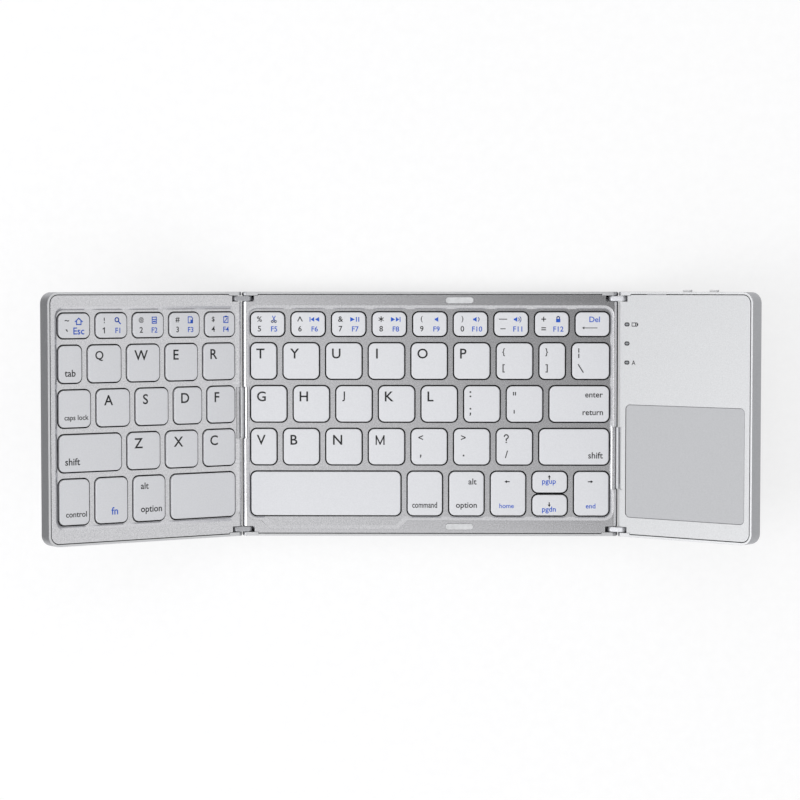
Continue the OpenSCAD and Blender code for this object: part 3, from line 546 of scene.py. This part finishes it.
INK_ABOVE = 0.02      # how far the ink stands above the cap's top
INK_BELOW = 0.01      # and reaches into it
BLACK_INK, BLUE_INK = 0, 1
inks = (grained("black_ink", linear(14, 14, 18), linear(22, 22, 26), grain_mm=0.3, roughness=0.6),
        grained("blue_ink", linear(2, 76, 190), linear(8, 86, 198), grain_mm=0.3, roughness=0.6))


def thin_solid(outlines):
    """Closed outlines in millimetres as separate thin solids of ink."""
    shape = bmesh.new()
    for outline in outlines:
        low = [shape.verts.new((x, y, -INK_BELOW)) for x, y in outline]
        high = [shape.verts.new((x, y, INK_ABOVE)) for x, y in outline]
        shape.faces.new(high)
        shape.faces.new(low[::-1])
        for i in range(len(outline)):
            shape.faces.new((low[i - 1], low[i], high[i], high[i - 1]))
    mesh = bpy.data.meshes.new("ink")
    shape.to_mesh(mesh)
    shape.free()
    return mesh


def stroke(width, *points):
    """The outlines of a line of the given width along the points, with square ends and corners."""
    outlines = []
    for start, end in zip(points, points[1:]):
        a, b = Vector(start), Vector(end)
        along = (b - a).normalized() * width / 2
        across = along.orthogonal()
        a, b = a - along, b + along
        outlines.append([a + across, a - across, b - across, b + across])
    return outlines


def arc(x, y, radius, start=0, end=360, steps=12):
    """Points of an arc, with its angles in degrees."""
    angles = [math.radians(start + (end - start) * i / steps) for i in range(steps + 1)]
    return [(x + radius * math.cos(angle), y + radius * math.sin(angle)) for angle in angles]


def arrow(length, line_width, head, turn):
    """An arrow about the origin that points left before it is turned by degrees."""
    tip, tail = -length / 2, length / 2
    parts = stroke(line_width, (tip + head, 0), (tail, 0))
    parts.append([(tip, 0), (tip + head * 1.3, -head * 0.8), (tip + head * 1.3, head * 0.8)])
    spin = Matrix.Rotation(math.radians(turn), 2)
    return [[spin @ Vector(corner) for corner in part] for part in parts]


speaker = [[(-1.5, -0.35), (-1.1, -0.35), (-0.1, -1.0), (-0.1, 1.0), (-1.1, 0.35), (-1.5, 0.35)]]
previous = [[(-1.5, 0), (-0.1, -0.95), (-0.1, 0.95)], [(0.2, 0), (1.9, -0.95), (1.9, 0.95)],
            [(-1.95, -0.95), (-1.6, -0.95), (-1.6, 0.95), (-1.95, 0.95)]]
ICONS = {
    "house": stroke(0.42, (-1.5, -0.1), (0, 1.2), (1.5, -0.1)) + stroke(
        0.42, (-0.95, -0.1), (-0.95, -1.2), (0.95, -1.2), (0.95, -0.1)),
    "magnifier": stroke(0.42, *arc(-0.3, 0.3, 0.8)) + stroke(0.5, (0.4, -0.4), (1.2, -1.2)),
    "select_all": stroke(0.35, (-0.95, 1.2), (0.95, 1.2), (0.95, -1.2), (-0.95, -1.2), (-0.95, 1.2))
    + stroke(0.35, (-0.7, 0.25), (0.7, 0.25)) + stroke(0.5, (-0.4, -0.5), (0.4, -0.5)),
    "copy": stroke(0.35, (-1.0, 1.2), (0.5, 1.2), (1.0, 0.6), (1.0, -1.2), (-1.0, -1.2), (-1.0, 1.2))
    + [[(0.0, 0.1), (1.0, 0.1), (1.0, -1.2), (0.0, -1.2)]],
    "paste": stroke(0.35, (-1.0, 1.1), (1.0, 1.1), (1.0, -1.2), (-1.0, -1.2), (-1.0, 1.1))
    + [[(-0.5, 0.9), (0.5, 0.9), (0.5, 1.5), (-0.5, 1.5)]] + stroke(0.35, (-0.5, -0.7), (0.5, 0.4)),
    "scissors": stroke(0.3, (-0.55, 1.3), (0.4, -0.5)) + stroke(0.3, (0.55, 1.3), (-0.4, -0.5))
    + stroke(0.28, *arc(-0.6, -0.85, 0.4)) + stroke(0.28, *arc(0.6, -0.85, 0.4)),
    "previous": previous,
    "play_or_pause": [[(-0.1, 0), (-1.9, 0.95), (-1.9, -0.95)]] + stroke(0.38, (0.55, -0.75), (0.55, 0.75))
    + stroke(0.38, (1.5, -0.75), (1.5, 0.75)),
    "next": [[(-x, y) for x, y in part] for part in previous],
    "sound_off": [[(x + 0.9, y) for x, y in part] for part in speaker],
    "sound_down": speaker + stroke(0.3, *arc(-0.1, 0, 1.0, -50, 50, 5)),
    "sound_up": speaker + stroke(0.28, *arc(-0.1, 0, 0.8, -50, 50, 5)) + stroke(
        0.28, *arc(-0.1, 0, 1.5, -48, 48, 6)),
    "padlock": [[(-0.85, -1.15), (0.85, -1.15), (0.85, 0.25), (-0.85, 0.25)]] + stroke(
        0.38, (-0.5, 0.2), *arc(0, 0.65, 0.5, 180, 0, 6), (0.5, 0.2)),
    "charge_cell": stroke(0.3, (-1.2, -0.65), (1.2, -0.65), (1.2, 0.65), (-1.2, 0.65), (-1.2, -0.65))
    + stroke(0.5, (1.5, -0.2), (1.5, 0.2)) + stroke(0.4, (0.55, -0.4), (0.55, 0.4)),
    "long_left_arrow": arrow(6.0, 0.28, 0.7, 0),
    "left_arrow": arrow(1.95, 0.4, 0.75, 0),
    "down_arrow": arrow(1.7, 0.4, 0.75, 90),
    "right_arrow": arrow(1.95, 0.4, 0.75, 180),
    "up_arrow": arrow(1.7, 0.4, 0.75, -90),
    "caret": stroke(0.38, (-0.85, -0.75), (0, 0.85), (0.85, -0.75)),
    "star": stroke(0.34, (0, 0.95), (0, -0.95)) + stroke(0.34, (-0.85, 0.5), (0.85, -0.5)) + stroke(
        0.34, (-0.85, -0.5), (0.85, 0.5)),
    "question": stroke(0.42, *arc(0, 0.75, 0.8, 170, -60, 8), (0, -0.2), (0, -0.75)) + stroke(
        0.5, (-0.02, -1.5), (0.02, -1.5)),
    "broken_bar": stroke(0.42, (0, 1.75), (0, 0.45)) + stroke(0.42, (0, -0.45), (0, -1.75)),
    "backslash": stroke(0.42, (-0.95, 1.5), (0.95, -1.5)),
    "long_dash": stroke(0.32, (-1.5, 0), (1.5, 0)),
    "dash": stroke(0.32, (-0.9, 0), (0.9, 0)),
    "dot": stroke(0.62, (-0.01, 0), (0.01, 0)),
    "comma": stroke(0.5, (0.02, 0.2), (0, -0.1)) + stroke(0.36, (0.02, -0.1), (-0.15, -0.6)),
    "tick": stroke(0.42, (0, 0.5), (0, -0.5)),
    "one": stroke(0.4, (-0.5, 0.55), (0.05, 0.95), (0.05, -0.95)),
    "capital_m": stroke(0.5, (-1.55, -1.75), (-1.55, 1.6), (0, -1.6), (1.55, 1.6), (1.55, -1.75)),
}

BOLDER = 0.012        # how far the letters' outlines are widened, in letter sizes


def words_mesh(words):
    """Words as a thin solid, with capitals about 0.68 high and the baseline at the origin."""
    letters = bpy.data.curves.new("words", "FONT")
    letters.body = words
    letters.resolution_u = 4
    letters.extrude = 0.5
    letters.offset = BOLDER
    carrier = bpy.data.objects.new("words", letters)
    bpy.context.scene.collection.objects.link(carrier)
    mesh = bpy.data.meshes.new_from_object(carrier.evaluated_get(bpy.context.evaluated_depsgraph_get()))
    bpy.data.objects.remove(carrier)
    lo, hi = [Vector([pick(v.co[axis] for v in mesh.vertices) for axis in range(3)]) for pick in (min, max)]
    mesh.transform(Matrix.Translation((-lo.x, 0, -hi.z)))
    return mesh, hi.x - lo.x, lo.y, hi.y


def mark(content, x, y, height=None, width=None, across=0.5, up=0.5, ink=BLACK_INK, stretch=1.0):
    """One printed sign: x from the cap's left edge, or from its right edge where it is below zero, and
    y from its back edge. across and up say which point of the sign lies there; up None is the baseline.
    stretch makes letters taller than the font's."""
    if content in ICONS:
        mesh = thin_solid(ICONS[content])
        mesh.transform(Matrix.Translation((x, -y, 0)))
    else:
        mesh, reach, low, high = words_mesh(content)
        size = width / reach if width else height / (high - low)
        raise_by = 0 if up is None else -low - up * (high - low)
        tall = size * stretch
        mesh.transform(Matrix.Translation((x - across * reach * size, -y + raise_by * tall, INK_ABOVE))
                       @ Matrix.Diagonal((size, tall, INK_ABOVE + INK_BELOW, 1)))
    mesh.polygons.foreach_set("material_index", [ink] * len(mesh.polygons))
    mesh["from_right"] = x < 0
    return mesh


CAPITAL_HEIGHT = 3.97


def letter(content, x=2.45, y=2.2):
    """A capital in the back left corner of its cap."""
    return [mark(content, x, y, height=CAPITAL_HEIGHT, across=0, up=1)]


# what is printed on a number key: how far its middle lies from the back edge, and its height
UPPER_SIGN = 2.8
UPPER_ICON = 2.9
LOWER_SIGN = 6.65
LOWER_FUNCTION = 6.75
SHIFTED_HEIGHT = 2.2
DIGIT_HEIGHT = 2.25
FUNCTION_HEIGHT = 2.1


def digit(shifted, plain, icon, function, x=3.5, blue_x=9.3):
    """A number key: its sign and digit on the left, and its icon and function on the right."""
    return [mark(shifted, x, UPPER_SIGN, height=SIGN_HEIGHTS.get(shifted, SHIFTED_HEIGHT)),
            mark(plain, x, LOWER_SIGN, height=SIGN_HEIGHTS.get(plain, DIGIT_HEIGHT)),
            mark(icon, blue_x, UPPER_ICON, ink=BLUE_INK),
            mark(function, blue_x + 0.1, LOWER_FUNCTION, height=FUNCTION_HEIGHT, ink=BLUE_INK)]


def word(content, x, baseline, width, across=None, ink=BLACK_INK, stretch=1.0):
    """A word that starts at x, or ends there where x is measured from the right edge."""
    if across is None:
        across = 1 if x < 0 else 0
    return mark(content, x, baseline, width=width, across=across, up=None, ink=ink, stretch=stretch)


SIGN_HEIGHTS = {"(": 2.6, ")": 2.6, "+": 1.9, "=": 1.2}
LEFT_X = 3.0          # most capitals on the left wing start here

# what is printed on each node's caps, from left to right
LEGENDS = {
    "escape_key": [[mark("~", 3.6, 2.8, width=1.9), mark("`", 3.5, 6.6, height=0.9),
                    mark("house", 8.7, 3.1, ink=BLUE_INK), mark("Esc", 8.7, 6.8, width=4.7, ink=BLUE_INK)]],
    "left_number_keys": [digit("!", "one", "magnifier", "F1"), digit("@", "2", "select_all", "F2"),
                         digit("#", "3", "copy", "F3"), digit("$", "4", "paste", "F4")],
    "tab_key": [[word("tab", 2.5, 11.9, 4.7)]],
    "left_upper_letter_keys": [letter("Q", LEFT_X), letter("W", LEFT_X), letter("E", 3.3),
                               letter("R", LEFT_X)],
    "caps_lock_key": [[word("caps lock", 2.3, 11.5, 10.4)]],
    "left_middle_letter_keys": [letter(each, LEFT_X) for each in "ASDF"],
    "left_shift_key": [[word("shift", 2.5, 11.7, 6.4)]],
    "left_lower_letter_keys": [letter("Z", 2.8), letter("X", 3.3), letter("C", 2.8)],
    "control_key": [[word("control", 2.7, 14.6, 9.0)]],
    "function_key": [[word("fn", 6.7, 14.4, 2.9, ink=BLUE_INK)]],
    "left_alt_key": [[word("alt", 3.0, 5.0, 3.5), word("option", 3.0, 14.1, 9.4)]],
    "backspace_key": [[mark("Del", 7.6, 2.9, width=4.2, ink=BLUE_INK), mark("long_left_arrow", 5.6, 6.3)]],
    "centre_number_keys": [
        digit("%", "5", "scissors", "F5"), digit("caret", "6", "previous", "F6"),
        digit("&", "7", "play_or_pause", "F7"), digit("star", "8", "next", "F8"),
        digit("(", "9", "sound_off", "F9"), digit(")", "0", "sound_down", "F10"),
        digit("long_dash", "dash", "sound_up", "F11"), digit("+", "=", "padlock", "F12")],
    "centre_upper_letter_keys": [
        letter("T", 2.2), letter("Y", 2.7), letter("U"), letter("I", 3.0), letter("O"), letter("P"),
        [mark("{", 2.8, 3.65, height=3.2), mark("[", 2.8, 10.1, height=3.3)],
        [mark("}", 2.9, 3.65, height=3.2), mark("]", 2.9, 10.1, height=3.3)],
        [mark("broken_bar", 2.7, 4.0), mark("backslash", 3.5, 10.1)]],
    "enter_key": [[word("enter", -2.5, 4.5, 7.1), word("return", -2.4, 11.6, 8.2)]],
    "centre_middle_letter_keys": [letter(each) for each in "GHJKL"] + [
        [mark("dot", 2.56, 2.4), mark("dot", 2.56, 4.15), mark("dot", 2.56, 9.1), mark("comma", 2.56, 11.1)],
        [mark("tick", 2.7, 3.05), mark("tick", 3.5, 3.05), mark("tick", 3.0, 10.3)]],
    "right_shift_key": [[word("shift", -2.4, 11.8, 5.9)]],
    "centre_lower_letter_keys": [letter("V", 2.3, 2.45), letter("B", 2.8, 2.45), letter("N", 2.8, 2.45)] + [
        [mark("capital_m", 4.6, 4.45)],
        [mark("<", 3.8, 3.5, width=1.9), mark("comma", 3.8, 10.8)],
        [mark(">", 3.8, 3.5, width=1.9), mark("dot", 3.9, 10.7)],
        [mark("question", 3.9, 3.9), mark("/", 4.0, 10.2, height=3.0)]],
    "command_key": [[word("command", 1.9, 14.5, 10.0, stretch=1.3)]],
    "right_alt_key": [[word("alt", -2.9, 5.1, 3.3), word("option", -2.8, 14.5, 8.4)]],
    "left_arrow_key": [[mark("left_arrow", 6.5, 4.0), word("home", 6.4, 14.6, 5.8, 0.5, BLUE_INK)]],
    "up_arrow_key": [[mark("up_arrow", 6.8, 2.1), word("pgup", 6.7, 4.8, 5.5, 0.5, BLUE_INK)]],
    "down_arrow_key": [[mark("down_arrow", 6.8, 4.1), word("pgdn", 6.7, 6.8, 5.5, 0.5, BLUE_INK)]],
    "right_arrow_key": [[mark("right_arrow", 6.7, 4.0), word("end", 6.7, 14.7, 3.9, 0.5, BLUE_INK)]],
}

for node, keys in LEGENDS.items():
    printed = []
    for (lo, hi), marks in zip(key_boxes[node], keys):
        for mesh in marks:
            edge = hi.x if mesh["from_right"] else lo.x
            mesh.transform(panel_frames[key_side[node]] @ Matrix.Translation((edge, hi.y, hi.z)))
            printed.append(mesh)
    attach(put_together(f"{node}_legends", printed, *inks), f"{node}_body")


# ---------------------------------------------------------------- right wing's cover and insides
# The right wing has a plain cover in a paler silver paint, with an opening for the touchpad. Beneath
# it are the flat battery in its dark wrap and the green main board with the port.

cover_paint = grained("cover_paint", linear(198, 199, 201), linear(212, 213, 215), grain_mm=0.4,
                      roughness=0.4, bump_mm=0.002, metallic=0.3, detail=4.0)
right_cover = rounded("right_cover", "right_top_cover", "right_wing", "frame", cover_paint, FRAME_EDGE,
                      filled_by=("status_lights",))
# the cover's walls at the joint take the painted shade too
shade_joint_walls(right_cover, panel_up["right"])

battery_wrap = grained("battery_wrap", linear(52, 54, 60), linear(62, 64, 70), grain_mm=1.2,
                       roughness=0.45)
board_green = grained("board_green", linear(24, 74, 50), linear(34, 90, 60), grain_mm=1.0, roughness=0.4)
port_metal = grained("port_metal", linear(170, 171, 174), linear(190, 191, 194), grain_mm=0.4,
                     roughness=0.3, metallic=1.0)
finish_node("battery", battery_wrap)
finish_node("main_board", board_green)
finish_node("charging_port", port_metal)


# ---------------------------------------------------------------- touchpad
# A flat pad of smooth grey plastic sits in the cover's opening, a little below its surface, so
# that a fine shadow runs round it.

pad_plastic = grained("pad_plastic", linear(182, 183, 186), linear(188, 189, 192), grain_mm=0.6,
                      roughness=0.5, bump_mm=0.001)
rounded("touchpad_plate", "touchpad", "right_wing", "touchpad", pad_plastic, edge_mm=0.12)


# ---------------------------------------------------------------- status lights and switches
# Three small clear lenses in the cover show the charge, the link and the capitals lock, each with
# a printed ring. Two sliding switches stand out of the right wing's back wall.

window_plastic = grained("window_plastic", linear(136, 138, 142), linear(148, 150, 154), grain_mm=0.3,
                         roughness=0.25)
finish_node("status_lights", window_plastic)

WINDOW_RING = 0.4     # width of the printed ring's line
CHARGE_LIGHT, CAPITALS_LIGHT = 0, 2
signs = []
cover_top = solid_boxes("right_top_cover", "right")[0][1].z
lights = sorted(solid_boxes("status_lights", "right"), key=lambda box: -box[0].y)
for number, (lo, hi) in enumerate(lights):
    x, y = (lo.x + hi.x) / 2, (lo.y + hi.y) / 2
    end_radius = (hi.y - lo.y) / 2 + WINDOW_RING / 2
    straight = (hi.x - lo.x) / 2 - (hi.y - lo.y) / 2
    ring = arc(x + straight, y, end_radius, -90, 90, 6) + arc(x - straight, y, end_radius, 90, 270, 6)
    signs.append(thin_solid(stroke(WINDOW_RING, *ring, ring[0])))
    if number == CHARGE_LIGHT:
        signs.append(mark("charge_cell", x + 3.55, -y))
    elif number == CAPITALS_LIGHT:
        signs.append(mark("A", x + 3.2, -y, height=1.8))
for mesh in signs:
    mesh.transform(panel_frames["right"] @ Matrix.Translation((0, 0, cover_top)))
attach(put_together("status_signs", signs, *inks), "right_wing")

knob_plastic = grained("knob_plastic", linear(240, 240, 241), linear(246, 246, 247), grain_mm=0.4,
                       roughness=0.4)
for switch in ("power_switch", "connection_switch"):
    rounded(f"{switch}_slider", f"{switch}_knob", switch, "knob", knob_plastic, edge_mm=0.15)


# ---------------------------------------------------------------- floor, lights and camera
# The keyboard lies on a plain white sheet under a large soft box on the left, in a pale room that is
# darker overhead. Two dark cards outside the picture, one lying on the left and one standing on the
# right, shade the walls that face them. None of it belongs to the keyboard.

def flat_sheet(name, corners, material):
    mesh = bpy.data.meshes.new(name)
    mesh.from_pydata(corners, [], [(0, 1, 2, 3)])
    sheet = in_scene(name, mesh, material)
    return sheet


sheet_paper = grained("sheet_paper", linear(150, 150, 151), linear(154, 154, 155), grain_mm=4.0,
                      roughness=0.9)
SHEET = [(-4, -4, 0), (4, -4, 0), (4, 4, 0), (-4, 4, 0)]
flat_sheet("white_sheet", SHEET, sheet_paper)

card_paper = grained("card_paper", linear(62, 62, 64), linear(68, 68, 70), grain_mm=2.0, roughness=0.9)
LEFT_CARD = [(-1.2, -0.5, 0.001), (-0.21, -0.5, 0.001), (-0.21, 0.5, 0.001), (-1.2, 0.5, 0.001)]
RIGHT_CARD = [(0.6, -0.5, 0.001), (0.6, -0.5, 0.13), (0.6, 0.5, 0.13), (0.6, 0.5, 0.001)]
for name, corners in (("left_card", LEFT_CARD), ("right_card", RIGHT_CARD)):
    card = flat_sheet(name, corners, card_paper)
    card.visible_camera = card.visible_diffuse = card.visible_shadow = False


def seen_or_mirrored(tree):
    """1 for rays from the camera and from mirrors and glass, 0 for the rays that light the scene."""
    ray = tree.nodes.new("ShaderNodeLightPath")
    return sum_of(tree, "MAXIMUM", ray.outputs["Is Camera Ray"], ray.outputs["Is Glossy Ray"],
                  ray.outputs["Is Transmission Ray"])


SHEET_GLOW = 0.66         # added to the sheet where it is seen or mirrored
sheet_tree = sheet_paper.node_tree
sheet_sockets = shader_sockets(sheet_paper)
sheet_sockets["Emission Color"].default_value = (1, 1, 1, 1)
sheet_tree.links.new(sum_of(sheet_tree, "MULTIPLY", seen_or_mirrored(sheet_tree), SHEET_GLOW),
                     sheet_sockets["Emission Strength"])

world = bpy.data.worlds.new("studio")
bpy.context.scene.world = world
world.use_nodes = True
sky = world.node_tree
direction = sky.nodes.new("ShaderNodeTexCoord").outputs["Generated"]
ROOM = 0.91                        # brightness of the pale room
FLAG_RIGHT = math.radians(14.2)    # where the dark patch overhead lies, from straight up
FLAG_BACK = math.radians(10.5)
FLAG_EDGE = math.radians(22)       # half its angle at its soft edge, and where it is black
FLAG_BLACK = math.radians(13.5)
flag_at = Vector((math.tan(FLAG_RIGHT), math.tan(FLAG_BACK), 1)).normalized()
towards_flag = add_node(sky, "ShaderNodeVectorMath", {0: direction, 1: flag_at},
                        operation="DOT_PRODUCT").outputs["Value"]
flag = add_node(sky, "ShaderNodeMapRange", {
    "Value": towards_flag, "From Min": math.cos(FLAG_EDGE), "From Max": math.cos(FLAG_BLACK),
    "To Min": ROOM, "To Max": 0.0}, interpolation_type="SMOOTHSTEP").outputs[0]
background = sky.nodes["Background"]
sky.links.new(flag, background.inputs["Strength"])
background.inputs["Color"].default_value = (1, 1, 1, 1)


def soft_box(name, place, aim, size, power):
    lamp = bpy.data.lights.new(name, "AREA")
    lamp.shape = "SQUARE"
    lamp.size = size
    lamp.energy = power
    box = bpy.data.objects.new(name, lamp)
    box.location = place
    box.rotation_euler = (Vector(aim) - Vector(place)).to_track_quat("-Z", "Y").to_euler()
    box.visible_camera = False
    bpy.context.scene.collection.objects.link(box)


soft_box("left_soft_box", (-0.88, -0.3, 0.92), (0, 0, 0), size=0.8, power=5.6)

# The photograph looks almost straight down from about a metre, with its optical axis a little in
# front of the keyboard's middle. The focal length is in picture widths.
PICTURE_WIDTH = 800       # pixels
FOCAL = 2617.34 / PICTURE_WIDTH
CAMERA_AT = Vector((0.002163, 0.052918, 1.055617))
TURN_X = math.radians(3.025)
TURN_Y = math.radians(-0.772)
BELOW_MIDDLE = 20.257 / PICTURE_WIDTH     # the axis meets the picture this far below its middle
lens = bpy.data.cameras.new("camera")
lens.sensor_width = 36.0
lens.lens = FOCAL * lens.sensor_width
lens.shift_y = BELOW_MIDDLE
camera = bpy.data.objects.new("camera", lens)
view_turn = (Matrix.Rotation(TURN_X, 4, "X") @ Matrix.Rotation(TURN_Y, 4, "Y")).transposed()
camera.matrix_world = Matrix.Translation(CAMERA_AT) @ view_turn
bpy.context.scene.collection.objects.link(camera)
bpy.context.scene.camera = camera
bpy.context.scene.view_settings.view_transform = "Standard"
